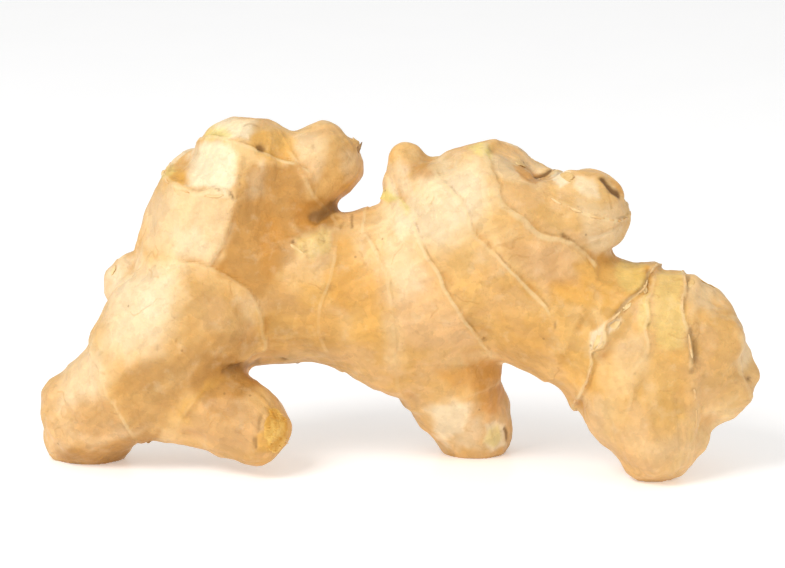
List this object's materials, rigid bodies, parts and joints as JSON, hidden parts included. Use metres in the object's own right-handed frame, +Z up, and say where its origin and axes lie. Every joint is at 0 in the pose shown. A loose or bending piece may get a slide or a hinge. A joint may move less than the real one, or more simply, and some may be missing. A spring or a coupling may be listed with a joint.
{
  "type": "ginger root",
  "caption": "Fresh ginger root: a branching hand of stout knobbly fingers with growth rings, bud scars and blunt ends, lying on its lowest lobes.",
  "frame": {"origin": "on the surface that the root lies on, under the middle of its outline", "axes": "+X along the root's length, towards its broad ringed lobe; -Y its front side; +Z up"},
  "size_m": [0.1508, 0.0432, 0.0732],
  "materials": {
    "skin": "thin pale tan skin, satin",
    "dry_skin": "papery dry skin flakes, matt",
    "flesh": "bare fibrous yellow flesh, matt",
    "bud": "dry brown bud tips and scars, matt"
  },
  "bodies": {
    "root": {"ginger_root": "skin"}
  },
  "joints": []
}
